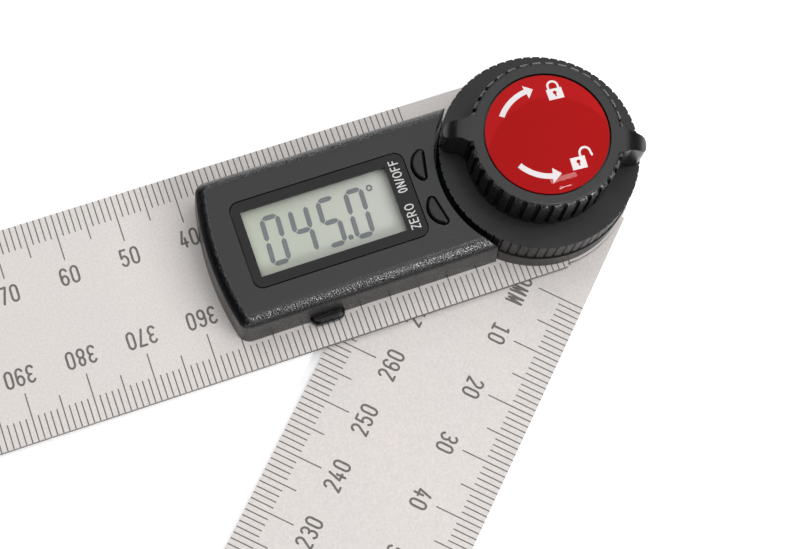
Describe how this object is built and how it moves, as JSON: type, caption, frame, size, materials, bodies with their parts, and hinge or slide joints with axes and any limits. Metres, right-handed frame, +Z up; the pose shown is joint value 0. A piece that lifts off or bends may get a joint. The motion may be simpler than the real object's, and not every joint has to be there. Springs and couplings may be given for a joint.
{
  "type": "digital protractor",
  "caption": "Digital protractor: two steel rule blades hinged under a knurled dial, with a display housing and a locking knob on the pivot",
  "frame": {"origin": "On the pivot axis, on the underside of the lower blade, which is the face it rests on", "axes": "+Z up along the pivot axis; the upper blade runs along -X from the pivot, and +Y is its outer edge; the lower blade runs at 45 degrees between -X and -Y"},
  "size_m": [0.317, 0.2412, 0.0213],
  "materials": {
    "blade_steel": "fine matt grain, with dark printed scales",
    "bolt_steel": "turned, lightly oiled",
    "screw_steel": "blackened",
    "brass": "turned",
    "black_plastic": "satin, finely stippled moulding",
    "base_plastic": "smooth satin moulding",
    "frame_plastic": "gloss black",
    "window_clear": "clear",
    "display_grey": "grey-green reflective display",
    "board_green": "solder mask",
    "contact_rubber": "matt",
    "contact_metal": "plated spring strip",
    "cell_steel": "plated can",
    "washer_plastic": "slippery white plastic",
    "badge_red": "red under a clear gloss dome"
  },
  "bodies": {
    "lower_arm": {"lower_blade": "blade_steel", "pivot_bolt": "bolt_steel", "thrust_washer": "washer_plastic", "dial": "black_plastic", "rotor_board": "board_green"},
    "clamp": {"pressure_washer": "bolt_steel"},
    "knob": {"lock_knob": "black_plastic", "knob_insert": "brass", "knob_badge": "badge_red"},
    "upper_arm": {"upper_blade": "blade_steel", "pivot_bushing": "brass", "base_ring": "base_plastic", "stator_board": "board_green", "housing_base": "base_plastic", "housing_shell": "black_plastic", "window_frame": "frame_plastic", "display_window": "window_clear", "display_panel": "display_grey", "contact_strips": "contact_rubber", "circuit_board": "board_green", "board_connector": "base_plastic", "button_switches": "contact_metal", "battery_contacts": "contact_metal", "case_screws": "screw_steel"},
    "tray": {"battery_tray": "base_plastic", "coin_cell": "cell_steel"},
    "zero": {"zero_button": "black_plastic"},
    "on_off": {"on_off_button": "black_plastic"}
  },
  "joints": [
    {"name": "blade_pivot", "type": "hinge", "parent": "lower_arm", "child": "upper_arm", "pos_m": [0, 0, 0.0022], "axis": [0, 0, 1], "continuous": true},
    {"name": "clamp_rise", "type": "slide", "parent": "lower_arm", "child": "clamp", "axis": [0, 0, 1], "range_m": [0, 0.0005]},
    {"name": "knob_turn", "type": "hinge", "parent": "clamp", "child": "knob", "pos_m": [0, 0, 0.016], "axis": [0, 0, 1], "range_deg": [0, 180]},
    {"name": "tray_slide", "type": "slide", "parent": "upper_arm", "child": "tray", "axis": [0, -1, 0], "range_m": [0, 0.022]},
    {"name": "zero_press", "type": "slide", "parent": "upper_arm", "child": "zero", "axis": [0, 0, -1], "range_m": [0, 0.0004], "stiffness_N_per_m": 1000, "springref_m": -0.0005},
    {"name": "on_off_press", "type": "slide", "parent": "upper_arm", "child": "on_off", "axis": [0, 0, -1], "range_m": [0, 0.0004], "stiffness_N_per_m": 1000, "springref_m": -0.0005}
  ],
  "couplings": [
    {"joint": "knob_turn", "follows": "clamp_rise", "rad_per_m": 6283}
  ]
}
